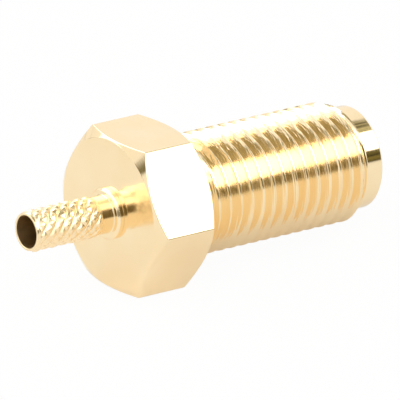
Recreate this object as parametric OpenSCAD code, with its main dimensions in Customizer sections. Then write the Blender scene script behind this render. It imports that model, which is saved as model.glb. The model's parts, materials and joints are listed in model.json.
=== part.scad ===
// SMA jack, straight crimp type: gold-plated hexagonal body with a long threaded barrel,
// a knurled crimp stem pressed in from behind, and a PTFE bead that holds the socket contact.
// Every piece is drawn upright, turned about Z, with Z = 0 at the flange's cable-side face and
// +Z towards the mating end. resting() then lays it down as it comes to rest on a table.

/* [Hexagonal flange] */
// Width across the flats, a 5/16 inch hexagon
hex_across = 7.94; // [7.4:0.02:9]
// Length of the flange along the connector
hex_len = 3.9; // [2.4:0.1:6]
// Diameter of the flat circle left on the cable-side face
rear_face_d = 7.8; // [7.2:0.05:7.9]
// Diameter of the flat circle left on the face towards the thread
front_face_d = 7.3; // [7:0.05:7.9]
// Angle of the corner chamfers from the end faces
hex_chamfer_angle = 33; // [20:1:40]

/* [Threaded barrel] */
// Major diameter of the 1/4-36 coupling thread
thread_d = 6.32; // [6.1:0.01:6.5]
// Length of the threaded stretch
thread_len = 10.5; // [5:0.1:16]
// Lead-in chamfer at the front end of the thread
thread_chamfer = 0.3; // [0.1:0.05:0.4]
// Diameter of the plain ring ahead of the thread
ring_d = 5.36; // [5.2:0.01:5.5]
// Length of the plain ring
ring_len = 1.1; // [0.4:0.05:1.2]
// Chamfer on the ring's outer edge
ring_chamfer = 0.1; // [0.05:0.01:0.18]

/* [Mating interface] */
// Diameter of the counterbore that takes the plug's shell
interface_d = 4.6; // [4.58:0.01:4.7]
// Depth of the counterbore down to the reference plane
interface_depth = 1.92; // [1.88:0.01:1.98]
// Chamfer at the counterbore's mouth
interface_chamfer = 0.1; // [0:0.01:0.12]

/* [Insulator] */
// Diameter of the bore that holds the insulator
insulator_bore_d = 4.1; // [3.8:0.01:4.2]
// Thickness of the flange's rear wall behind the insulator
rear_wall = 1.6; // [1:0.1:2.2]

/* [Crimp stem] */
// Bore for the cable's dielectric and centre wire
cable_bore_d = 1.72; // [1.6:0.01:1.74]
// Diameter across the knurl's lands
knurl_d = 2.18; // [2.16:0.01:2.5]
// Length of the knurled stretch
knurl_len = 3.99; // [2:0.01:6]
// Number of knurl grooves around the stem, of each hand
knurl_starts = 10; // [8:1:14]
// Distance between diamonds along the stem
knurl_pitch = 0.57; // [0.4:0.01:0.8]
// Depth of the knurl's grooves
knurl_depth = 0.12; // [0.06:0.01:0.14]
// Half-length of the flat land on each diamond, along the stem
knurl_land = 0.1; // [0.03:0.01:0.14]
// Length of the plain lip at the stem's mouth
lip_len = 0.11; // [0.05:0.01:0.4]
// Diameter of the plain neck and the lip
neck_d = 1.98; // [1.94:0.01:2.2]
// Length of the neck between knurl and collar
neck_len = 0.7; // [0.3:0.05:2]
// Diameter of the collar against the flange
collar_d = 2.7; // [2.6:0.05:3.6]
// Thickness of the collar
collar_len = 0.35; // [0.25:0.05:1]
// Chamfer on the collar's rear edge
collar_chamfer = 0.12; // [0.02:0.01:0.15]
// Diameter of the shank pressed into the flange
shank_d = 2.3; // [2.1:0.05:2.5]

/* [Centre contact] */
// Outer diameter of the socket contact
contact_d = 1.27; // [1.2:0.01:1.3]
// Bore that takes the plug's centre pin
socket_d = 0.94; // [0.92:0.01:0.98]
// Depth of the socket bore
socket_depth = 2.9; // [2.4:0.1:3.6]
// Width of the slots between the spring fingers
slot_w = 0.15; // [0.1:0.01:0.16]
// Length of the slots
slot_len = 2.4; // [1.6:0.1:2.8]
// Distance that the contact's tip sits behind the reference plane
contact_recess = 0.1; // [0.05:0.01:0.25]
// Chamfers at the contact's tip, inside and outside
tip_chamfer = 0.07; // [0.02:0.01:0.07]
// Diameter of the shoulder that stops the contact in the insulator
shoulder_d = 1.38; // [1.36:0.01:1.5]
// Length of that shoulder
shoulder_len = 1; // [0.6:0.1:2]
// Solder cup bore for the cable's centre wire
cup_d = 0.55; // [0.52:0.01:0.7]
// Depth of the solder cup
cup_depth = 1.8; // [1:0.1:3]
// Diameter of the solder hole in the side of the cup
solder_hole_d = 0.4; // [0.3:0.05:0.5]
// Distance of the solder hole from the contact's rear end
solder_hole_at = 0.5; // [0.4:0.05:0.6]

/* [Fits] */
// Radial clearance left between pressed pieces
press_clear = 0.01; // [0.005:0.005:0.02]

/* [Hidden] */

$fn = 96;
past = 1; // how far a cutter runs past the face it opens
corner_overrun = 0.2; // how far the chamfer cones run past the hexagon's corners
gold = [0.93, 0.77, 0.45];
contact_gold = [0.88, 0.70, 0.36];
ptfe_white = [0.96, 0.96, 0.94];

// Stations along the axis
thread_end = hex_len + thread_len;
front_end = thread_end + ring_len;
reference_plane = front_end - interface_depth;
contact_tip = reference_plane - contact_recess;
collar_rear = -collar_len;
knurl_front = collar_rear - neck_len;
knurl_rear = knurl_front - knurl_len;
stem_rear = knurl_rear - lip_len;

// How the connector rests: on the flange's front edge and on the thread's last crest
hex_edge_step = max(0, hex_across - front_face_d) / 2 * tan(hex_chamfer_angle);
hex_contact = [hex_across / 2, hex_len - hex_edge_step];
thread_contact = [thread_d / 2, thread_end - thread_chamfer];
rest_tilt = atan((hex_contact.x - thread_contact.x) / (thread_contact.y - hex_contact.y));
rest_height = hex_contact.x * cos(rest_tilt) + hex_contact.y * sin(rest_tilt);
reach_front = front_end * cos(rest_tilt) + (ring_d / 2 - ring_chamfer) * sin(rest_tilt);
reach_rear = stem_rear * cos(rest_tilt) - neck_d / 2 * sin(rest_tilt);
rest_middle = (reach_front + reach_rear) / 2;

// Lays an upright piece down, mating end towards +X, with the origin under the middle
module resting()
    translate([-rest_middle, 0, rest_height])
        rotate([0, 90 + rest_tilt, 0])
            children();

// Solid turned from an outline of [radius, height] points
module turned(outline)
    rotate_extrude()
        polygon(outline);

// Hexagon with both ends turned down to a cone at the corners, one flat facing +X
module chamfered_hexagon() {
    past_corners = hex_across / 2 / cos(30) + corner_overrun;
    rear_cone = (past_corners - rear_face_d / 2) * tan(hex_chamfer_angle);
    front_cone = (past_corners - front_face_d / 2) * tan(hex_chamfer_angle);
    intersection() {
        rotate(30)
            cylinder(h = hex_len, r = hex_across / 2 / cos(30), $fn = 6);
        turned([
            [0, 0],
            [rear_face_d / 2, 0],
            [past_corners, rear_cone],
            [past_corners, hex_len - front_cone],
            [front_face_d / 2, hex_len],
            [0, hex_len]
        ]);
    }
}

// Barrel at the thread's major diameter, with the plain ring in front
module barrel()
    turned([
        [0, hex_len / 2],
        [thread_d / 2, hex_len / 2],
        [thread_d / 2, thread_end - thread_chamfer],
        [thread_d / 2 - thread_chamfer, thread_end],
        [ring_d / 2, thread_end],
        [ring_d / 2, front_end - ring_chamfer],
        [ring_d / 2 - ring_chamfer, front_end],
        [0, front_end]
    ]);

// Everything bored out of the body: stem hole, insulator bore, interface counterbore
module body_bores()
    turned([
        [0, -past],
        [shank_d / 2 + press_clear, -past],
        [shank_d / 2 + press_clear, rear_wall],
        [insulator_bore_d / 2, rear_wall],
        [insulator_bore_d / 2, reference_plane],
        [interface_d / 2, reference_plane],
        [interface_d / 2, front_end - interface_chamfer],
        [interface_d / 2 + interface_chamfer, front_end],
        [interface_d / 2 + interface_chamfer, front_end + past],
        [0, front_end + past]
    ]);

module outer_body()
    color(gold)
        resting()
            difference() {
                union() {
                    chamfered_hexagon();
                    barrel();
                }
                body_bores();
            }

// Diamond knurl as a solid rod. Grooves of both hands cross at lattice points where column + row
// is even, and between them stands a diamond with a flat land, land_reach long each way from its
// middle. Both end rows lie at the root.
module knurled_rod(land_r, root_r, length, starts, pitch, land_reach) {
    columns = 2 * starts;
    rows = 2 * round(length / pitch);
    row_step = length / rows;
    land = land_reach / row_step;
    function is_diamond(i, j) = (i + j) % 2 == 1 && j > 0 && j < rows;
    function at(i, j, r) = [r * cos(i * 360 / columns), r * sin(i * 360 / columns), j * row_step];
    function lattice(i, j) = j * columns + (i + columns) % columns;
    function diamond(i, j) = (rows + 1) * columns + 4 * ((j - 1) * starts + floor(i / 2));
    lattice_points = [
        for (j = [0:rows], i = [0:columns - 1])
            at(i, j, is_diamond(i, j) ? land_r : root_r)
    ];
    land_points = [
        for (j = [1:rows - 1], i = [0:columns - 1])
            if (is_diamond(i, j))
                for (way = [[1, 0], [0, 1], [-1, 0], [0, -1]])
                    at(i + land * way.x, j + land * way.y, land_r)
    ];
    diamond_faces = [
        for (j = [1:rows - 1], i = [0:columns - 1])
            if (is_diamond(i, j))
                let (
                    low = [lattice(i + 1, j), lattice(i, j + 1), lattice(i - 1, j), lattice(i, j - 1)],
                    top = [for (k = [0:3]) diamond(i, j) + k]
                )
                    for (k = [0:3])
                        let (n = (k + 1) % 4)
                            each [
                                [lattice(i, j), top[n], top[k]],
                                [top[k], top[n], low[n]],
                                [top[k], low[n], low[k]]
                            ]
    ];
    end_faces = [
        for (end = [0, 1], i = [0:columns - 1])
            let (row = end * rows, inner = end == 0 ? 1 : rows - 1)
                if ((i + row) % 2 == 1)
                    for (side = [-1, 1])
                        let (edge = [lattice(i, row), lattice(i + side, row)])
                            side * (end == 0 ? 1 : -1) > 0
                                ? [edge[0], lattice(i, inner), edge[1]]
                                : [edge[1], lattice(i, inner), edge[0]]
    ];
    caps = [
        [for (i = [0:columns - 1]) lattice(i, 0)],
        [for (i = [columns - 1:-1:0]) lattice(i, rows)]
    ];
    polyhedron(points = concat(lattice_points, land_points),
               faces = concat(diamond_faces, end_faces, caps));
}

// Plain turned parts of the stem: shank in the flange, collar, neck and the lip at the mouth
module stem_turning() {
    turned([
        [0, knurl_front],
        [neck_d / 2, knurl_front],
        [neck_d / 2, collar_rear],
        [collar_d / 2 - collar_chamfer, collar_rear],
        [collar_d / 2, collar_rear + collar_chamfer],
        [collar_d / 2, 0],
        [shank_d / 2, 0],
        [shank_d / 2, rear_wall],
        [0, rear_wall]
    ]);
    translate([0, 0, stem_rear])
        cylinder(h = lip_len, d = neck_d);
}

module crimp_stem()
    color(gold)
        resting()
            difference() {
                union() {
                    stem_turning();
                    translate([0, 0, knurl_rear])
                        knurled_rod(knurl_d / 2, knurl_d / 2 - knurl_depth, knurl_len,
                                    knurl_starts, knurl_pitch, knurl_land);
                }
                translate([0, 0, stem_rear - past])
                    cylinder(h = rear_wall - stem_rear + 2 * past, d = cable_bore_d);
            }

module insulator()
    color(ptfe_white)
        resting()
            turned([
                [shoulder_d / 2 + press_clear, rear_wall],
                [insulator_bore_d / 2 - press_clear, rear_wall],
                [insulator_bore_d / 2 - press_clear, reference_plane],
                [contact_d / 2 + press_clear, reference_plane],
                [contact_d / 2 + press_clear, rear_wall + shoulder_len],
                [shoulder_d / 2 + press_clear, rear_wall + shoulder_len]
            ]);

module contact_turning()
    turned([
        [0, rear_wall],
        [shoulder_d / 2, rear_wall],
        [shoulder_d / 2, rear_wall + shoulder_len],
        [contact_d / 2, rear_wall + shoulder_len],
        [contact_d / 2, contact_tip - tip_chamfer],
        [contact_d / 2 - tip_chamfer, contact_tip],
        [0, contact_tip]
    ]);

// Socket bore with its lead-in, as one cutter
module socket_bore()
    turned([
        [0, contact_tip - socket_depth],
        [socket_d / 2, contact_tip - socket_depth],
        [socket_d / 2, contact_tip - tip_chamfer],
        [socket_d / 2 + tip_chamfer, contact_tip],
        [socket_d / 2 + tip_chamfer, contact_tip + past],
        [0, contact_tip + past]
    ]);

module centre_contact()
    color(contact_gold)
        resting()
            difference() {
                contact_turning();
                socket_bore();
                for (turn = [0, 90])
                    rotate(turn)
                        translate([-contact_d, -slot_w / 2, contact_tip - slot_len])
                            cube([2 * contact_d, slot_w, slot_len + past]);
                translate([0, 0, rear_wall - past])
                    cylinder(h = cup_depth + past, d = cup_d);
                translate([0, 0, rear_wall + solder_hole_at])
                    rotate([0, -90, 0])
                        cylinder(h = shoulder_d, d = solder_hole_d);
            }

outer_body();
crimp_stem();
insulator();
centre_contact();
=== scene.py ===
"""Looks of a gold-plated coaxial jack: hexagonal flange, threaded barrel and knurled crimp stem.

Every piece is turned about the connector's own axis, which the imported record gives. Sizes are in
millimetres where nothing else is said. Stations run along that axis from the flange's cable-side
face towards the mating end, and turns are angles about it, from the far side over the top.
"""

import json
import logging
import math
from dataclasses import dataclass
from enum import Enum, IntEnum
from typing import NamedTuple

import bmesh
import bpy
from mathutils import Matrix, Vector, noise


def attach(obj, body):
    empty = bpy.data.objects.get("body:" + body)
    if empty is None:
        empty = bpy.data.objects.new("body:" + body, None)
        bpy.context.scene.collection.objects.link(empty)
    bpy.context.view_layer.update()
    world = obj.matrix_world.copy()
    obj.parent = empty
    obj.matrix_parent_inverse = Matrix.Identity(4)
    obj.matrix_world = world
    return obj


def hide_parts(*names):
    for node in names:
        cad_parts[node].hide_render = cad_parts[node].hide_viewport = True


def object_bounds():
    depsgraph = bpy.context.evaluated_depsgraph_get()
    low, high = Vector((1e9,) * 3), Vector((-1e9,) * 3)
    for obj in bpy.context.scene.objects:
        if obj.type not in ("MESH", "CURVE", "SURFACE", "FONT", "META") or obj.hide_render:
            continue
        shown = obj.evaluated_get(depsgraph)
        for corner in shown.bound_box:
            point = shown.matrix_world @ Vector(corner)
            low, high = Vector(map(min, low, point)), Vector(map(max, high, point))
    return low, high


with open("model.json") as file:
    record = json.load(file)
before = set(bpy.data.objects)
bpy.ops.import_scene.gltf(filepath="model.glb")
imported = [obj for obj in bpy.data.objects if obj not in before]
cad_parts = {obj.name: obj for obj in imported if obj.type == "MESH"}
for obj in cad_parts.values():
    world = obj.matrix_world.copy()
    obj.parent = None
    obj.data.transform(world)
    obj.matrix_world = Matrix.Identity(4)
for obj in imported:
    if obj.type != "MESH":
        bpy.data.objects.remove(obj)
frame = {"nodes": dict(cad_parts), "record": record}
cad_low, cad_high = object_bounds()

LOG = logging.getLogger("coaxial_jack")
# One millimetre, in metres
MM = 0.001
# The flange's sides, the angle that each of them spans and half of it
FLANGE_SIDES = 6
SIDE_ANGLE = math.tau / FLANGE_SIDES
HALF_SIDE = SIDE_ANGLE / 2
# Roundings: facets in each arc, distance of the points that guard its ends, and the most of
# an edge that an arc's end and a guard may take
ARC_FACETS = 3
GUARD = 0.02
ROUNDING_SHARE = 0.3
GUARD_SHARE = 0.15
# The range that most of a noise's values lie in
NOISE_MIDDLE = (0.3, 0.7)

Tone = tuple[float, float, float]
Socket = bpy.types.NodeSocket
Material = bpy.types.Material
Node = bpy.types.Node


class Edge(float, Enum):
    """Radius that an edge is broken with."""

    SHARP = 0.0
    FINE = 0.02
    LIP = 0.025
    PLAIN = 0.03
    FLANGE = 0.035
    SOFT = 0.05


class Corner(NamedTuple):
    """A corner of an outline in the plane of the axis.

    Attributes:
        station: Place along the axis.
        radius: Distance from the axis.
        rounding: Radius that the corner is broken with.
    """

    station: float
    radius: float
    rounding: float = Edge.SHARP


@dataclass(frozen=True)
class ConnectorAxis:
    """The line that every piece of the connector is turned about.

    Attributes:
        origin: The axis's point in the flange's cable-side face, in metres.
        forward: Direction of the mating end.
        side: Direction of turn zero.
        up: Direction of a quarter turn.
    """

    origin: Vector
    forward: Vector
    side: Vector
    up: Vector

    @classmethod
    def from_record(cls, record: dict, flange_length: float) -> "ConnectorAxis":
        """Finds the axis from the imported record's thread.

        Args:
            record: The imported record.
            flange_length: Length of the flange.

        Returns:
            The axis, with station zero in the flange's cable-side face.
        """
        thread = mount(record, "coupling_thread")
        forward = Vector(thread["axis"]).normalized()
        thread_front = flange_length + thread["dims"]["length_mm"]
        side = Vector((0, 1, 0))
        origin = Vector(thread["pos_m"]) - forward * thread_front * MM
        return cls(origin, forward, side, up=forward.cross(side))

    def point(self, station: float, radius: float, turn: float) -> Vector:
        """Gives the place, in metres, at a station, a radius and a turn in radians."""
        outward = self.side * math.cos(turn) + self.up * math.sin(turn)
        return self.origin + (self.forward * station + outward * radius) * MM

    def station_of(self, place: list[float]) -> float:
        """Gives the station, in millimetres, of a point in the row frame in metres."""
        return (Vector(place) - self.origin).dot(self.forward) / MM


def mount(record: dict, name: str) -> dict:
    """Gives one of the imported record's mounts by its name."""
    return next(m for m in record["mounts"] if m["name"] == name)


def smooth_step(low: float, high: float, value: float) -> float:
    """Goes smoothly from 0 at low to 1 at high."""
    share = min(1.0, max(0.0, (value - low) / (high - low)))
    return share * share * (3 - 2 * share)


def broken_edges(corners: list[Corner], guard: float = GUARD) -> list[Corner]:
    """Rounds the corners of a closed outline and guards each arc with a point on either side.

    Args:
        corners: The outline's corners in order; the last one joins the first.
        guard: Distance of the guarding points from the arc's ends.

    Returns:
        The outline's points in order.
    """
    outline = []
    for i, corner in enumerate(corners):
        here = Vector((corner.station, corner.radius))
        before = Vector(corners[i - 1][:2]) - here
        after = Vector(corners[(i + 1) % len(corners)][:2]) - here
        if corner.rounding <= 0:
            outline.append(corner)
            continue
        bend = before.angle(after)
        room = ROUNDING_SHARE * min(before.length, after.length)
        reach = min(corner.rounding / math.tan(bend / 2), room)
        to_before, to_after = before.normalized(), after.normalized()
        radius = reach * math.tan(bend / 2)
        centre = here + (to_before + to_after).normalized() * (radius / math.sin(bend / 2))
        start, stop = here + to_before * reach - centre, here + to_after * reach - centre
        swing = start.angle_signed(stop)
        steps = [Matrix.Rotation(-swing * k / ARC_FACETS, 2) for k in range(ARC_FACETS + 1)]
        arc = [centre + step @ start for step in steps]
        arc.insert(0, here + to_before * (reach + min(guard, GUARD_SHARE * before.length)))
        arc.append(here + to_after * (reach + min(guard, GUARD_SHARE * after.length)))
        outline.extend(Corner(p.x, p.y) for p in arc)
    return outline


class TurnedMesh:
    """A closed shell made of columns of points, one column for each turn about the axis."""

    def __init__(self, axis: ConnectorAxis, turns: list[float]) -> None:
        """Starts an empty shell with a column at each turn, in rising radians."""
        self.axis = axis
        self.turns = turns
        self.shell = bmesh.new()

    def vertex(self, column: int, station: float, radius: float) -> bmesh.types.BMVert:
        """Adds a point of one column."""
        return self.shell.verts.new(self.axis.point(station, radius, self.turns[column]))

    def quad_band(self, left: list, right: list, slots: list[int]) -> None:
        """Joins two neighbouring runs of points, row by row.

        Args:
            left: Points of one column.
            right: The same rows of the next column.
            slots: Material slot of each row of faces.
        """
        for slot, *corners in zip(slots, left, right, right[1:], left[1:]):
            self.shell.faces.new(corners).material_index = slot

    def patch(self, *corners: bmesh.types.BMVert, slot: int) -> None:
        """Adds one face, leaving out corners that repeat."""
        distinct = list(dict.fromkeys(corners))
        if len(distinct) > 2:
            self.shell.faces.new(distinct).material_index = slot

    def finish(self, name: str, materials: list[Material]) -> bpy.types.Object:
        """Turns the shell into a smooth-shaded object.

        Args:
            name: Name of the object.
            materials: Its materials, in slot order.

        Returns:
            The linked object.
        """
        faces = self.shell.faces
        bmesh.ops.triangulate(self.shell, faces=[f for f in faces if len(f.verts) > 4])
        bmesh.ops.recalc_face_normals(self.shell, faces=faces)
        for face in faces:
            face.smooth = True
        mesh = bpy.data.meshes.new(name)
        self.shell.to_mesh(mesh)
        self.shell.free()
        piece = bpy.data.objects.new(name, mesh)
        bpy.context.scene.collection.objects.link(piece)
        for material in materials:
            mesh.materials.append(material)
        return piece


# ---- Finishes ----


class Grain(IntEnum):
    """Octaves of a noise, from a slow swell to milky clouds."""

    SWELL = 1
    SOFT = 2
    CLOUDY = 3
    MILKY = 4


class NodeSheet:
    """A node tree, with short calls for the nodes that the finishes and the studio share."""

    def __init__(self, owner: Material | bpy.types.World) -> None:
        """Takes over the owner's node tree and empties it."""
        owner.use_nodes = True
        self.tree = owner.node_tree
        self.tree.nodes.clear()

    def node(self, kind: str, *feeds: object, **settings: object) -> Node:
        """Adds a shader node.

        Args:
            kind: Its type, without the common start of the name.
            feeds: What its first inputs are fed with, or one dictionary by the inputs' names.
            settings: Its properties.

        Returns:
            The node.
        """
        made = self.tree.nodes.new(f"ShaderNode{kind}")
        for key, value in settings.items():
            setattr(made, key, value)
        named = feeds[0] if feeds and isinstance(feeds[0], dict) else dict(enumerate(feeds))
        self.feed(made, named)
        return made

    def feed(self, node: Node, feeds: dict[str | int, object]) -> None:
        """Joins a node's inputs to sockets, or sets them to values."""
        for label, value in feeds.items():
            if isinstance(value, Socket):
                self.tree.links.new(value, node.inputs[label])
            else:
                node.inputs[label].default_value = value

    def math(self, operation: str, *values: object) -> Socket:
        """Works with sockets or numbers and gives the result."""
        return self.node("Math", *values, operation=operation).outputs[0]

    def vector_math(self, operation: str, *values: object) -> Node:
        """Works with vectors, from sockets or given, and gives the node."""
        return self.node("VectorMath", *values, operation=operation)

    def noise(self, place: Socket, scale: float, grain: Grain) -> Socket:
        """Gives a noise's value at a place, with scale changes for each unit of it."""
        feeds = {"Vector": place, "Scale": scale, "Detail": float(grain)}
        return self.node("TexNoise", feeds, noise_dimensions="3D").outputs["Fac"]

    def mapped(
        self,
        value: Socket,
        source: tuple[float, float],
        target: tuple[float, float],
        curve: str = "LINEAR",
    ) -> Socket:
        """Maps a value from one range to another.

        Args:
            value: The value.
            source: Start and end of its range.
            target: What the start and the end become.
            curve: How the values between them follow.

        Returns:
            The mapped value, held within the target's range.
        """
        ends = dict(zip(("From Min", "From Max", "To Min", "To Max"), (*source, *target)))
        mapping = self.node("MapRange", ends, interpolation_type=curve)
        self.feed(mapping, {"Value": value})
        return mapping.outputs["Result"]

    def glow(self, tint: Tone, strength: object) -> Node:
        """Adds a glowing shader of one tint, whose strength is a number or a socket."""
        return self.node("Emission", {"Color": (*tint, 1), "Strength": strength})

    def mixed(self, share: Socket, first: Node, second: Node) -> Socket:
        """Gives the mix of two shaders by the share of the second."""
        return self.node("MixShader", share, first.outputs[0], second.outputs[0]).outputs[0]

    def show(self, shader: Socket, output: str = "OutputMaterial") -> None:
        """Joins a shader to the tree's output."""
        self.node(output, {"Surface": shader})


class FinishSheet(NodeSheet):
    """The node tree of one of the connector's finishes, round a Principled shader."""

    def __init__(self, name: str, axis: ConnectorAxis) -> None:
        """Starts a material whose marks follow the axis."""
        self.material = bpy.data.materials.new(name)
        super().__init__(self.material)
        self.shader = self.node("BsdfPrincipled")
        self.show(self.shader.outputs["BSDF"])
        self.place = self.along_axis(axis)

    def along_axis(self, axis: ConnectorAxis) -> Socket:
        """Gives the place in a frame whose X lies along the axis, in millimetres."""
        coordinates = self.node("TexCoord").outputs["Object"]
        shifted = self.vector_math("SUBTRACT", coordinates, axis.origin).outputs[0]
        turn = Matrix((axis.forward, axis.side, axis.up)).to_euler()
        scale = 1 / MM, 1 / MM, 1 / MM
        feeds = {"Vector": shifted, "Rotation": turn, "Scale": scale}
        return self.node("Mapping", feeds, vector_type="POINT").outputs[0]

    def shade(self, label: str, value: object) -> None:
        """Feeds one of the shader's inputs."""
        self.feed(self.shader, {label: value})

    def tones(self, value: Socket, low: Tone, high: Tone) -> None:
        """Colours the shader between two tones as a noise rises."""
        ramp = self.node("ValToRGB", {"Fac": value})
        for element, place, tone in zip(ramp.color_ramp.elements, NOISE_MIDDLE, (low, high)):
            element.position = place
            element.color = (*tone, 1)
        self.shade("Base Color", ramp.outputs["Color"])

    def relief(self, height: Socket, depth: float) -> None:
        """Raises the surface by a height of 0 to 1 times depth, in millimetres."""
        bump = self.node("Bump", {"Strength": 1.0, "Distance": depth * MM, "Height": height})
        self.shade("Normal", bump.outputs["Normal"])

    def lathe_rings(self, spacing: float, wander: float) -> Socket:
        """Adds the rings that a turning tool leaves, which wander slowly about the axis.

        Args:
            spacing: Distance between the rings.
            wander: Changes of the rings for each millimetre sideways.

        Returns:
            The rings' height.
        """
        along, side, up = self.node("SeparateXYZ", self.place).outputs
        across = self.node("CombineXYZ", side, up).outputs[0]
        reach = self.vector_math("LENGTH", across).outputs["Value"]
        laps = [self.math("MULTIPLY", value, 1 / spacing) for value in (along, reach)]
        ringed = self.node("CombineXYZ", *laps, self.math("MULTIPLY", side, wander))
        return self.noise(ringed.outputs[0], 1.0, Grain.SWELL)


@dataclass(frozen=True)
class Finish:
    """A finish whose colour and gloss change in clouds, over the marks of a turning tool.

    Attributes:
        name: Name of the material.
        pale: Its lighter colour.
        deep: Its darker colour.
        gloss: Lowest and highest roughness.
        tone_clouds: Changes of its colour for each millimetre, and their grain.
        haze_clouds: Changes of its roughness for each millimetre, and their grain.
        mark_spacing: Distance between the tool's marks.
        mark_depth: Depth of the marks.
        mark_wander: Changes of the marks for each millimetre sideways.
    """

    name: str
    pale: Tone
    deep: Tone
    gloss: tuple[float, float]
    tone_clouds: tuple[float, Grain]
    haze_clouds: tuple[float, Grain]
    mark_spacing: float
    mark_depth: float
    mark_wander: float = 0.6

    def clouded_sheet(self, axis: ConnectorAxis) -> FinishSheet:
        """Starts the material with its clouds of colour and gloss."""
        sheet = FinishSheet(self.name, axis)
        haze = sheet.noise(sheet.place, *self.haze_clouds)
        sheet.tones(sheet.noise(sheet.place, *self.tone_clouds), self.deep, self.pale)
        sheet.shade("Roughness", sheet.mapped(haze, NOISE_MIDDLE, self.gloss))
        return sheet


@dataclass(frozen=True)
class GoldPlate(Finish):
    """Bright gold plating over turned brass.

    Attributes:
        wave_scale: Changes of the plate's slow waves for each millimetre.
        wave_depth: Depth of those waves.
    """

    pale: Tone = (0.995, 0.815, 0.535)
    deep: Tone = (0.985, 0.775, 0.475)
    gloss: tuple[float, float] = (0.07, 0.12)
    tone_clouds: tuple[float, Grain] = (0.35, Grain.SOFT)
    haze_clouds: tuple[float, Grain] = (1.1, Grain.CLOUDY)
    mark_spacing: float = 0.05
    mark_depth: float = 0.0004
    wave_scale: float = 0.9
    wave_depth: float = 0.002

    def material(self, axis: ConnectorAxis) -> Material:
        """Builds the material, whose marks follow the axis."""
        sheet = self.clouded_sheet(axis)
        sheet.shade("Metallic", 1.0)
        swell = sheet.noise(sheet.place, self.wave_scale, Grain.SWELL)
        waves = sheet.math("MULTIPLY", swell, self.wave_depth / self.mark_depth)
        rings = sheet.lathe_rings(self.mark_spacing, self.mark_wander)
        sheet.relief(sheet.math("ADD", waves, rings), self.mark_depth)
        return sheet.material


@dataclass(frozen=True)
class WhiteFluoropolymer(Finish):
    """Matt white fluoropolymer, faintly cloudy, with the lathe's rings in its end.

    Attributes:
        milkiness: Share of the light that spreads below the surface.
        milk_depth: How far it spreads.
    """

    pale: Tone = (0.88, 0.875, 0.85)
    deep: Tone = (0.82, 0.81, 0.78)
    gloss: tuple[float, float] = (0.42, 0.56)
    tone_clouds: tuple[float, Grain] = (1.6, Grain.MILKY)
    haze_clouds: tuple[float, Grain] = (5, Grain.SOFT)
    mark_spacing: float = 0.06
    mark_depth: float = 0.004
    milkiness: float = 0.2
    milk_depth: float = 0.4

    def material(self, axis: ConnectorAxis) -> Material:
        """Builds the material, whose rings follow the axis."""
        sheet = self.clouded_sheet(axis)
        sheet.shade("Subsurface Weight", self.milkiness)
        sheet.shade("Subsurface Radius", [self.milk_depth * MM] * 3)
        sheet.shade("Subsurface Scale", 1.0)
        sheet.relief(sheet.lathe_rings(self.mark_spacing, self.mark_wander), self.mark_depth)
        return sheet.material


# ---- Outer body ----


@dataclass(frozen=True)
class Thread:
    """The right-handed coupling thread, cut with a V-shaped tool.

    Attributes:
        crest_radius: Major radius.
        start: Station where the thread's stretch begins.
        stop: Station where it ends.
        chamfer: Lead-in at the front.
        pitch: Distance between turns, 36 to the inch.
        depth: Depth from crest to root.
        flank_angle: Lean of the flanks, in degrees.
        crest_flat: Width of the flat crest.
        crest_rounding: Rounding beside the crest.
        root_rounding: Rounding in the root.
        guard: Distance of the points that guard the roundings.
        phase: Station of a crest at turn zero, in shares of the pitch.
        clear_from: Length of the plain stretch beside the flange.
        fade: Length over which the tool is drawn out of the cut.
    """

    crest_radius: float
    start: float
    stop: float
    chamfer: float
    pitch: float = 25.4 / 36
    depth: float = 0.46
    flank_angle: float = 30
    crest_flat: float = 0.012
    crest_rounding: float = 0.008
    root_rounding: float = 0.08
    guard: float = 0.03
    phase: float = 0.3
    clear_from: float = 0.05
    fade: float = 0.7

    def cut(self) -> list[tuple[float, float]]:
        """Gives one turn's section as pairs of distance from the crest and depth below it."""
        half_crest = self.crest_flat / 2
        root_start = half_crest + self.depth * math.tan(math.radians(self.flank_angle))
        front_half = [
            Corner(half_crest, 0, self.crest_rounding),
            Corner(root_start, self.depth, self.root_rounding),
            Corner(self.pitch / 2, self.depth),
        ]
        rear_half = [c._replace(station=-c.station) for c in reversed(front_half)]
        section = rear_half + front_half
        return [(c.station, c.radius) for c in broken_edges(section, self.guard)[:-1]]

    def radius(self, station: float, depth: float) -> float:
        """Gives the thread's radius where its full section is a given depth below the crest.

        Args:
            station: Place along the axis.
            depth: Depth of the full section there.

        Returns:
            The radius, with the run-out at the flange and the lead-in at the front.
        """
        fade_start = self.start + self.clear_from
        lift = self.depth * (1 - smooth_step(fade_start, fade_start + self.fade, station))
        lead_in = self.crest_radius - max(0.0, station - (self.stop - self.chamfer))
        return min(self.crest_radius - max(0.0, depth - lift), lead_in)


class BodySlot(IntEnum):
    """Material slots of the outer body, in order."""

    PLAIN = 0
    FACED = 1
    THREADED = 2


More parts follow.
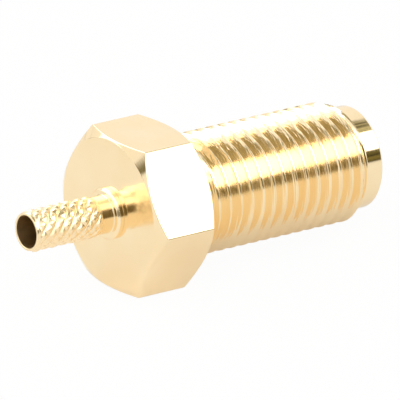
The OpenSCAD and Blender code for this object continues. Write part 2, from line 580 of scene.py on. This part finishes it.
@dataclass
class OuterBody:
    """The one-piece brass body: flange, threaded barrel, front ring and its bores.

    Attributes:
        axis: The connector's axis.
        record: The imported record.
        across: Width across the flange's flats.
        flange_length: Length of the flange.
        rear_face_radius: Radius of the flat circle on its cable-side face.
        front_face_radius: Radius of the flat circle on its other face.
        chamfer_angle: Angle of the corner chamfers from the faces, in degrees.
        corner_rounding: Rounding between neighbouring flats.
        corner_columns: Columns beside each corner, in shares of half its angle.
        columns_between: Columns between one corner of the flange and the next.
        ring_radius: Radius of the plain front ring.
        ring_chamfer: Chamfer on the ring's outer edge.
        interface_chamfer: Chamfer at the counterbore's mouth.
        thread_chamfer: Lead-in at the thread's front.
        thread_offset: Distance from the flange to the thread's first rows.
        row_margin: Least distance between the thread's rows and its ends.
        front_margin: Further distance that they keep from its front edge.
        insulator_bore: Radius of the bore for the insulator.
        stem_hole: Radius of the hole for the crimp stem.
        face_slack: How far off the cable-side face a point still lies in it.
    """

    axis: ConnectorAxis
    record: dict
    across: float = 7.94
    flange_length: float = 3.9
    rear_face_radius: float = 3.9
    front_face_radius: float = 3.65
    chamfer_angle: float = 33
    corner_rounding: float = 0.1
    corner_columns: tuple[float, ...] = (0.5, 1.0, 1.3, 2.2)
    columns_between: int = 20
    ring_radius: float = 2.68
    ring_chamfer: float = 0.1
    interface_chamfer: float = 0.1
    thread_chamfer: float = 0.3
    thread_offset: float = 0.2
    row_margin: float = 0.008
    front_margin: float = 0.02
    insulator_bore: float = 2.05
    stem_hole: float = 1.16
    face_slack: float = 0.001

    def __post_init__(self) -> None:
        """Reads the stations and radii that the record gives."""
        thread = mount(self.record, "coupling_thread")
        interface = mount(self.record, "mating_interface")
        cable = mount(self.record, "cable_bore")
        station_of = self.axis.station_of
        self.thread_end = station_of(thread["pos_m"]) + self.thread_chamfer
        self.interface_radius = interface["dims"]["r_mm"]
        self.interface_mouth = station_of(interface["pos_m"])
        self.reference_plane = self.interface_mouth - interface["dims"]["length_mm"]
        self.front = self.interface_mouth + self.interface_chamfer
        self.rear_wall = station_of(cable["pos_m"]) + cable["dims"]["length_mm"]
        self.thread = Thread(
            thread["dims"]["r_mm"], self.flange_length, self.thread_end, self.thread_chamfer
        )

    def corner_reach(self) -> tuple[float, float]:
        """Gives the distance to a rounded corner's centre and half the angle that it spans."""
        centre = (self.across / 2 - self.corner_rounding) / math.cos(HALF_SIDE)
        sideways = self.corner_rounding * math.sin(HALF_SIDE)
        ahead = centre + self.corner_rounding * math.cos(HALF_SIDE)
        return centre, math.atan2(sideways, ahead)

    def turns(self) -> list[float]:
        """Gives the angles of the columns, gathered at the flange's corners."""
        half = self.corner_reach()[1]
        beside = [share * half for share in self.corner_columns]
        free = SIDE_ANGLE - 2 * beside[-1]
        between = [
            beside[-1] + free * k / self.columns_between for k in range(1, self.columns_between)
        ]
        offsets = [-angle for angle in beside] + [0.0] + beside + between
        return sorted(
            (side * SIDE_ANGLE + offset) % math.tau
            for side in range(FLANGE_SIDES)
            for offset in offsets
        )

    def flange_radius(self, turn: float) -> float:
        """Gives the hexagon's distance from the axis at a turn, with its corners rounded."""
        from_corner = (turn + HALF_SIDE) % SIDE_ANGLE - HALF_SIDE
        centre, half = self.corner_reach()
        if abs(from_corner) >= half:
            return self.across / 2 / math.cos(HALF_SIDE - abs(from_corner))
        away = centre * math.sin(from_corner)
        return centre * math.cos(from_corner) + math.sqrt(self.corner_rounding**2 - away**2)

    def column(self, turn: float) -> list[Corner]:
        """Gives the body's outline at a turn, starting after the thread and ending before it.

        Args:
            turn: Angle about the axis.

        Returns:
            The outline's points, from the thread's front over the bores to the thread's rear.
        """
        flat = self.flange_radius(turn)
        slope = math.tan(math.radians(self.chamfer_angle))
        rear_chamfer = (flat - self.rear_face_radius) * slope
        front_chamfer = (flat - self.front_face_radius) * slope
        length, thread_radius = self.flange_length, self.thread.crest_radius
        ring, counterbore = self.ring_radius, self.interface_radius
        corners = [
            Corner(self.thread_end, thread_radius - self.thread_chamfer, Edge.FINE),
            Corner(self.thread_end, ring, Edge.PLAIN),
            Corner(self.front - self.ring_chamfer, ring, Edge.SOFT),
            Corner(self.front, ring - self.ring_chamfer, Edge.SOFT),
            Corner(self.front, counterbore + self.interface_chamfer, Edge.FINE),
            Corner(self.interface_mouth, counterbore, Edge.FINE),
            Corner(self.reference_plane, counterbore, Edge.PLAIN),
            Corner(self.reference_plane, self.insulator_bore, Edge.PLAIN),
            Corner(self.rear_wall, self.insulator_bore, Edge.PLAIN),
            Corner(self.rear_wall, self.stem_hole, Edge.FINE),
            Corner(0, self.stem_hole, Edge.FINE),
            Corner(0, self.rear_face_radius, Edge.FLANGE),
            Corner(rear_chamfer, flat, Edge.FLANGE),
            Corner(length - front_chamfer, flat, Edge.FLANGE),
            Corner(length, self.front_face_radius, Edge.FLANGE),
            Corner(length, thread_radius, Edge.SOFT),
            Corner(length + self.thread_offset, thread_radius),
        ]
        return broken_edges(corners)

    def thread_rows(self, turn: float, first: float, last: float) -> dict[int, tuple[float, float]]:
        """Gives the thread's rows at a turn.

        Args:
            turn: Angle about the axis.
            first: Station that the rows stay ahead of.
            last: Station that the rows stay behind.

        Returns:
            Station and radius of each row, by its number along the thread's helix.
        """
        rows, thread, section = {}, self.thread, self.thread.cut()
        advance = thread.pitch * (turn / math.tau + thread.phase)
        for lap in range(-1, math.ceil((last - first) / thread.pitch) + 1):
            for place, (offset, depth) in enumerate(section):
                station = first + thread.pitch * lap + offset + advance
                if first + self.row_margin < station < last - self.row_margin:
                    row = lap * len(section) + place
                    rows[row] = station, thread.radius(station, depth)
        return rows

    def build(self, materials: list[Material]) -> bpy.types.Object:
        """Builds the body as one closed shell.

        Args:
            materials: Its finishes, in the order of BodySlot.

        Returns:
            The body.
        """
        turns = self.turns()
        mesh = TurnedMesh(self.axis, turns)
        on_face = [abs(c.station) < self.face_slack for c in self.column(turns[0])]
        slots = [
            BodySlot.FACED if here and beyond else BodySlot.PLAIN
            for here, beyond in zip(on_face, on_face[1:])
        ]
        rings, threads = [], []
        for i, turn in enumerate(turns):
            outline = self.column(turn)
            rings.append([mesh.vertex(i, c.station, c.radius) for c in outline])
            last = outline[0].station - self.front_margin
            rows = self.thread_rows(turn, outline[-1].station, last)
            threads.append({row: mesh.vertex(i, *place) for row, place in rows.items()})
        per_lap = len(self.thread.cut())
        for i, near in enumerate(rings):
            after = (i + 1) % len(rings)
            far = rings[after]
            mesh.quad_band(near, far, slots)
            shift = per_lap if after == 0 else 0
            there = {row - shift: vertex for row, vertex in threads[after].items()}
            rear, front = (near[-1], far[-1]), (near[0], far[0])
            self.join_thread(mesh, threads[i], there, rear, front)
        return mesh.finish("threaded_body", materials)

    @staticmethod
    def join_thread(mesh: TurnedMesh, here: dict, there: dict, rear: tuple, front: tuple) -> None:
        """Joins two neighbouring columns of the thread, whose rows start and stop apart.

        Args:
            mesh: The shell.
            here: Vertices of one column by row.
            there: Vertices of the next column by row.
            rear: The two columns' points behind the thread.
            front: The two columns' points ahead of it.
        """
        shared = sorted(set(here) & set(there))
        first, last = shared[0], shared[-1]
        slot = BodySlot.THREADED
        for row in range(first, last):
            mesh.patch(here[row], there[row], there[row + 1], here[row + 1], slot=slot)
        columns = here, there
        behind = [[c[row] for row in sorted(c) if row <= first] for c in columns]
        ahead = [[c[row] for row in sorted(c) if row >= last] for c in columns]
        mesh.patch(*rear, *behind[1], *reversed(behind[0]), slot=slot)
        mesh.patch(*ahead[1], *reversed(front), *reversed(ahead[0]), slot=slot)


# ---- Crimp stem ----


class StemSlot(IntEnum):
    """Material slots of the crimp stem, in order."""

    KNURLED = 0
    TURNED = 1
    BORE = 2


@dataclass
class CrimpStem:
    """The turned tail: shank in the flange, collar, neck, diamond knurl and open mouth.

    Attributes:
        axis: The connector's axis.
        record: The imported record.
        shank_radius: Radius of the shank pressed into the flange.
        collar_radius: Radius of the collar.
        collar_length: Thickness of the collar.
        collar_chamfer: Chamfer on its cable side.
        neck_radius: Radius of the plain neck and of the lip at the mouth.
        neck_length: Length of the neck.
        knurl_length: Length of the knurl.
        knurl_radius: Radius over its diamonds.
        knurl_depth: Depth of its grooves.
        knurl_gap: Distance from either end of the knurl to the plain outline.
        starts: Grooves of each hand.
        diamonds_along: Diamonds from end to end.
        land: Share of each diamond that stays flat.
        faint_family: Depth of the left-leaning grooves, as a share of the others.
        stray: How far the grooves stray from their lines, in diamonds.
        stray_scale: Changes of that straying for each millimetre along the stem.
        stray_about: Size of the circle that gives its changes about the stem.
        press: How full the middling diamond is pressed, as a share.
        press_spread: How far the diamonds differ in that, as a share.
        press_scale: Step in the noise from one diamond to the next.
        root_fill: Share of the depth that even a root is filled with.
        fades: Lengths over which the knurl starts at the mouth and ends at the neck.
        facets: Columns and rows for each diamond.
        bore_reach: How far past the bore's radius its finish starts and, at the mouth, ends.
    """

    axis: ConnectorAxis
    record: dict
    shank_radius: float = 1.15
    collar_radius: float = 1.35
    collar_length: float = 0.35
    collar_chamfer: float = 0.12
    neck_radius: float = 0.99
    neck_length: float = 0.7
    knurl_length: float = 3.99
    knurl_radius: float = 1.09
    knurl_depth: float = 0.1
    knurl_gap: float = 0.02
    starts: int = 10
    diamonds_along: int = 7
    land: float = 0.12
    faint_family: float = 0.6
    stray: float = 0.16
    stray_scale: float = 1.6
    stray_about: float = 3
    press: float = 0.8
    press_spread: float = 0.45
    press_scale: float = 0.73
    root_fill: float = 0.06
    fades: tuple[float, float] = (0.12, 0.2)
    facets: int = 20
    bore_reach: tuple[float, float] = (0.01, 0.03)

    def __post_init__(self) -> None:
        """Reads the stations and the bore that the record gives."""
        cable = mount(self.record, "cable_bore")
        self.bore = cable["dims"]["r_mm"]
        self.mouth = self.axis.station_of(cable["pos_m"])
        self.shank_end = self.mouth + cable["dims"]["length_mm"]
        self.knurl_front = -self.collar_length - self.neck_length
        self.knurl_rear = self.knurl_front - self.knurl_length

    def groove(self, place: float) -> float:
        """Gives a groove family's height, 0 in its root and 1 on the land, at a place across it."""
        away = abs(place - round(place))
        return min(1.0, away / (0.5 - self.land))

    def knurl_height(self, station: float, turn: float) -> float:
        """Gives the knurl's radius.

        Args:
            station: Place along the axis.
            turn: Angle about the axis.

        Returns:
            The radius, with each diamond pressed slightly differently.
        """
        along = (station - self.knurl_rear) / self.knurl_length * self.diamonds_along
        about = turn / math.tau * self.starts
        circle = self.stray_about * math.cos(turn), self.stray_about * math.sin(turn)
        stray = self.stray * noise.noise(Vector((station * self.stray_scale, *circle)))
        one, other = about - along + stray, about + along - stray
        height = min(1 - self.faint_family * (1 - self.groove(one)), self.groove(other))
        diamond = Vector((math.floor(one), math.floor(other), 0.5)) * self.press_scale
        height *= self.press + self.press_spread * noise.noise(diamond)
        fade = smooth_step(0, self.fades[0], station - self.knurl_rear)
        fade *= smooth_step(0, self.fades[1], self.knurl_front - station)
        root = self.knurl_radius - self.knurl_depth
        cut = root + self.knurl_depth * min(1.0, height + self.root_fill)
        return self.neck_radius + (cut - self.neck_radius) * fade

    def outline(self) -> list[Corner]:
        """Gives the plain outline, from the knurl's front over the collar and bore to its rear."""
        collar_face = -self.collar_length
        corners = [
            Corner(self.knurl_front + self.knurl_gap, self.neck_radius),
            Corner(collar_face, self.neck_radius, Edge.SOFT),
            Corner(collar_face, self.collar_radius - self.collar_chamfer, Edge.PLAIN),
            Corner(collar_face + self.collar_chamfer, self.collar_radius, Edge.PLAIN),
            Corner(0, self.collar_radius, Edge.FINE),
            Corner(0, self.shank_radius, Edge.FINE),
            Corner(self.shank_end, self.shank_radius, Edge.FINE),
            Corner(self.shank_end, self.bore, Edge.FINE),
            Corner(self.mouth, self.bore, Edge.LIP),
            Corner(self.mouth, self.neck_radius, Edge.PLAIN),
            Corner(self.knurl_rear - self.knurl_gap, self.neck_radius),
        ]
        return broken_edges(corners)

    def build(self, materials: list[Material]) -> bpy.types.Object:
        """Builds the stem as one closed shell.

        Args:
            materials: Its finishes, in the order of StemSlot.

        Returns:
            The stem.
        """
        count = self.starts * self.facets
        turns = [math.tau * k / count for k in range(count)]
        mesh = TurnedMesh(self.axis, turns)
        outline = self.outline()
        wall, lip = (self.bore + reach for reach in self.bore_reach)
        bore_from = next(k for k, c in enumerate(outline) if c.radius < wall)
        bore_to = next(k for k in range(bore_from, len(outline)) if outline[k].radius > lip)
        bored = range(bore_from, bore_to)
        slots = [StemSlot.BORE if k in bored else StemSlot.TURNED for k in range(len(outline))]
        rows = self.diamonds_along * self.facets
        stations = [self.knurl_rear + k * self.knurl_length / rows for k in range(rows + 1)]
        columns = []
        for i, turn in enumerate(turns):
            plain = [mesh.vertex(i, c.station, c.radius) for c in outline]
            knurl = [mesh.vertex(i, s, self.knurl_height(s, turn)) for s in stations]
            columns.append((plain, [plain[-1], *knurl, plain[0]]))
        for i, (plain, knurl) in enumerate(columns):
            plain_after, knurl_after = columns[(i + 1) % count]
            mesh.quad_band(plain, plain_after, slots)
            mesh.quad_band(knurl, knurl_after, [StemSlot.KNURLED] * len(knurl))
        return mesh.finish("knurled_stem", materials)


# ---- Studio ----


def outwards(azimuth: float, elevation: float) -> Vector:
    """Gives the direction at an azimuth, 0 being the -Y side, and an elevation, in degrees."""
    about, above = math.radians(azimuth), math.radians(elevation)
    level = math.cos(above)
    return Vector((math.sin(about) * level, -math.cos(about) * level, math.sin(above)))


def stage_board(name: str, halves: list[float], material: Material) -> bpy.types.Object:
    """Builds a flat rectangle of the stage round the origin, facing up.

    Args:
        name: Name of the object.
        halves: Half its size along X and along Y, in metres.
        material: Its material.

    Returns:
        The board.
    """
    mesh = bpy.data.meshes.new(name)
    signs = ((-1, -1), (1, -1), (1, 1), (-1, 1))
    corners = [(x * halves[0], y * halves[1], 0) for x, y in signs]
    mesh.from_pydata(corners, [], [(0, 1, 2, 3)])
    mesh.materials.append(material)
    board = bpy.data.objects.new(name, mesh)
    bpy.context.scene.collection.objects.link(board)
    return board


class Reach(Enum):
    """Which surfaces a studio panel acts on."""

    ALL = "matt and glossy surfaces"
    MIRRORS = "glossy surfaces alone"


@dataclass(frozen=True)
class Panel:
    """A flat softbox or dark flag beside the object, which the camera doesn't see.

    Attributes:
        name: Name of the panel.
        at: Direction of its middle, as azimuth and elevation in degrees.
        span: Angles that it spans sideways and upwards, in degrees.
        brightness: Radiance of its face, where 1 is white.
        tint: Colour of its face.
        fade: Share of its half-width over which its edge fades.
        distance: Distance from the object, in metres.
        reach: Which surfaces it acts on.
        mottle: How far its brightness changes in patches, as a share.
        patch_scale: Changes of its brightness for each metre.
        patch_range: The noise's values at the darkest and brightest patches.
    """

    name: str
    at: tuple[float, float]
    span: tuple[float, float]
    brightness: float
    tint: Tone = (1.0, 1.0, 1.0)
    fade: float = 0.2
    distance: float = 0.3
    reach: Reach = Reach.ALL
    mottle: float = 0.0
    patch_scale: float = 36
    patch_range: tuple[float, float] = (0.35, 0.65)

    def build(self, middle: Vector) -> bpy.types.Object:
        """Builds the panel, facing the object.

        Args:
            middle: Middle of the object, in metres.

        Returns:
            The panel.
        """
        halves = [self.distance * math.tan(math.radians(angle / 2)) for angle in self.span]
        panel = stage_board(self.name, halves, self.material())
        away = outwards(*self.at)
        panel.location = middle + away * self.distance
        panel.rotation_mode = "QUATERNION"
        panel.rotation_quaternion = away.to_track_quat("Z", "Y")
        panel.visible_camera = False
        panel.visible_shadow = False
        panel.visible_diffuse = self.reach is Reach.ALL
        return panel

    def material(self) -> Material:
        """Builds the panel's face, which fades out towards its edges."""
        material = bpy.data.materials.new(self.name)
        sheet = NodeSheet(material)
        places = sheet.node("TexCoord").outputs
        centred = sheet.vector_math("MULTIPLY_ADD", places["Generated"], (2, 2, 0), (-1, -1, 0))
        away = sheet.vector_math("ABSOLUTE", centred.outputs[0]).outputs[0]
        masks = [
            sheet.mapped(part, (1.0, 1.0 - self.fade), (0, 1), "SMOOTHSTEP")
            for part in sheet.node("SeparateXYZ", away).outputs[:2]
        ]
        patches = sheet.noise(places["Object"], self.patch_scale, Grain.SOFT)
        ends = self.brightness * (1 - self.mottle), self.brightness * (1 + self.mottle)
        face = sheet.glow(self.tint, sheet.mapped(patches, self.patch_range, ends))
        clear = sheet.node("BsdfTransparent")
        sheet.show(sheet.mixed(sheet.math("MULTIPLY", *masks), clear, face))
        return material


@dataclass
class Studio:
    """White table and surroundings, softboxes, dark flags and the camera.

    Attributes:
        middle: Middle of the object, in metres.
        panels: The softboxes and flags.
        table_size: Width of the table, in metres.
        table_tone: Colour of the table.
        table_lift: Share of the table that the camera sees as plain white.
        mirror_lift: The same share as the gold mirrors it.
        fill: Strength of the surroundings as a light.
        azimuth: Direction of the camera round the object, in degrees.
        elevation: Height of the camera above the horizon, in degrees.
        roll: Turn of the camera about its line of sight, in degrees.
        aim: Point that the camera looks at.
        view_width: Width of the view at that point.
        lens: Focal length.
        sensor: Width of the sensor.
        clip_share: Nearest visible distance, as a share of the camera's distance.
    """

    middle: Vector
    panels: list[Panel]
    table_size: float = 3.0
    table_tone: Tone = (0.95, 0.95, 0.95)
    table_lift: float = 0.96
    mirror_lift: float = 0.3
    fill: float = 0.78
    azimuth: float = -35.91
    elevation: float = 24.38
    roll: float = -1.18
    aim: tuple[float, float, float] = (-2.16, -3.70, 5.40)
    view_width: float = 20.257
    lens: float = 1200
    sensor: float = 36
    clip_share: float = 0.1

    def build(self) -> None:
        """Builds the whole studio."""
        self.build_table()
        self.build_world()
        for panel in self.panels:
            panel.build(self.middle)
        self.build_camera()
        bpy.context.scene.view_settings.view_transform = "Standard"
        LOG.info("studio stands with %d panels", len(self.panels))

    def build_table(self) -> None:
        """Lays the pale table under the object."""
        material = bpy.data.materials.new("white_table")
        sheet = NodeSheet(material)
        matt = sheet.node("BsdfDiffuse", {"Color": (*self.table_tone, 1)})
        rays = sheet.node("LightPath").outputs
        mirrored = sheet.math("MULTIPLY", rays["Is Glossy Ray"], self.mirror_lift)
        share = sheet.math("MULTIPLY_ADD", rays["Is Camera Ray"], self.table_lift, mirrored)
        sheet.show(sheet.mixed(share, matt, sheet.glow((1, 1, 1), 1.0)))
        stage_board("table", [self.table_size / 2] * 2, material)

    def build_world(self) -> None:
        """Surrounds the object with white, dimmer as a light than as a background."""
        world = bpy.data.worlds.new("white_surroundings")
        bpy.context.scene.world = world
        sheet = NodeSheet(world)
        rays = sheet.node("LightPath").outputs
        shown = sheet.math("MAXIMUM", rays["Is Camera Ray"], rays["Is Glossy Ray"])
        strength = sheet.mapped(shown, (0, 1), (self.fill, 1))
        background = sheet.node("Background", {"Color": (1, 1, 1, 1), "Strength": strength})
        sheet.show(background.outputs[0], "OutputWorld")

    def build_camera(self) -> None:
        """Sets the camera at its viewing angle."""
        back = outwards(self.azimuth, self.elevation)
        level = Vector((0, 0, 1)).cross(back).normalized()
        right = Matrix.Rotation(math.radians(self.roll), 3, back) @ level
        up = back.cross(right)
        distance = self.lens / self.sensor * self.view_width * MM
        place = Vector(self.aim) * MM + back * distance
        data = bpy.data.cameras.new("camera")
        data.lens = self.lens
        data.sensor_width = self.sensor
        data.clip_start = distance * self.clip_share
        data.clip_end = distance / self.clip_share
        camera = bpy.data.objects.new("camera", data)
        bpy.context.scene.collection.objects.link(camera)
        turned = Matrix((right, up, back)).transposed().to_4x4()
        camera.matrix_world = Matrix.Translation(place) @ turned
        bpy.context.scene.camera = camera


def studio_panels() -> list[Panel]:
    """Gives the softboxes and flags; a nearer panel covers a farther one where they overlap."""
    warm_brown = (1.0, 0.85, 0.25)
    olive_brown = (1.0, 0.76, 0.04)
    khaki = (1.0, 0.96, 0.62)
    return [
        # Bright band along the barrel and the white upper flat of the flange
        Panel("key_softbox", at=(46, 35), span=(52, 44), brightness=3.3,
              fade=0.1, distance=0.27, reach=Reach.MIRRORS),
        # General light from the camera's side and from the left
        Panel("camera_side_softbox", at=(-34, 46), span=(84, 56), brightness=2.1),
        Panel("left_softbox", at=(-94, 47), span=(56, 24), brightness=1.8, fade=0.3),
        # Light on the thread's flanks, which face the cable's side
        Panel("back_softbox", at=(-143, 19), span=(30, 18), brightness=2.8, fade=0.25),
        Panel("back_high_softbox", at=(181, 48), span=(74, 44), brightness=3.1,
              fade=0.15, reach=Reach.MIRRORS),
        # Dark line below the bright band
        Panel("right_horizon_flag", at=(36, 11), span=(50, 24), brightness=0.13,
              tint=warm_brown, fade=0.3, distance=0.25, mottle=0.8),
        # Dark line along the neck and its image in the flange
        Panel("camera_flag", at=(-38, 20), span=(62, 62), brightness=0.09,
              tint=olive_brown, fade=0.6, distance=0.25),
        # Shade in the thread's roots at the top
        Panel("back_horizon_flag", at=(-159, 3), span=(18, 8), brightness=0.12,
              tint=warm_brown, fade=0.4, distance=0.27),
        # Brown, streaky zone above the bright band
        Panel("ceiling_flag", at=(105, 65), span=(62, 40), brightness=0.34,
              tint=khaki, fade=0.15, distance=0.26, mottle=0.95),
        # Dark edge of the flange's chamfers
        Panel("left_flag", at=(-102, 23), span=(13, 15), brightness=0.14,
              tint=warm_brown, fade=0.35, distance=0.27),
    ]


# ---- Assembly ----


def dress_cad_node(name: str, material: Material) -> None:
    """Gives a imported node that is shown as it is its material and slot.

    Args:
        name: The node's name.
        material: Its material.
    """
    node = frame["nodes"][name]
    node.data.materials.clear()
    node.data.materials.append(material)
    for face in node.data.polygons:
        face.material_index = 0
    LOG.info("%s keeps its packed shape, finished in %s", name, material.name)


def place_piece(piece: bpy.types.Object, node: str) -> None:
    """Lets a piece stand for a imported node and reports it.

    Args:
        piece: The piece.
        node: The node that it stands for.
    """
    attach(piece, "root")
    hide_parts(node)
    triangles = sum(len(f.vertices) - 2 for f in piece.data.polygons)
    LOG.info("%s stands for %s with %d triangles", piece.name, node, triangles)


def main() -> None:
    """Builds the connector's pieces in order, and the studio round them."""
    logging.basicConfig(level=logging.INFO, format="%(name)s: %(message)s")
    record = frame["record"]
    axis = ConnectorAxis.from_record(record, OuterBody.flange_length)

    turned = GoldPlate("turned_gold").material(axis)
    faced = GoldPlate("faced_gold", gloss=(0.13, 0.18), mark_spacing=0.08).material(axis)
    threaded = GoldPlate(
        "threaded_gold", gloss=(0.12, 0.18), mark_spacing=0.1, mark_depth=0.014, mark_wander=2.5
    ).material(axis)
    bored = GoldPlate(
        "bore_gold", pale=(1.0, 0.84, 0.54), deep=(0.8, 0.58, 0.32), gloss=(0.27, 0.36), mark_depth=0.002
    ).material(axis)
    knurled = GoldPlate(
        "knurled_gold", gloss=(0.24, 0.32), mark_spacing=0.08, mark_depth=0.008, mark_wander=3.0
    ).material(axis)
    contact = GoldPlate("contact_gold", gloss=(0.12, 0.2)).material(axis)
    white = WhiteFluoropolymer("white_fluoropolymer").material(axis)

    body = OuterBody(axis, record).build([turned, faced, threaded])
    place_piece(body, "outer_body")
    stem = CrimpStem(axis, record).build([knurled, faced, bored])
    place_piece(stem, "crimp_stem")
    dress_cad_node("insulator", white)
    dress_cad_node("centre_contact", contact)

    Studio((cad_low + cad_high) / 2, studio_panels()).build()


if __name__ == "__main__":
    main()
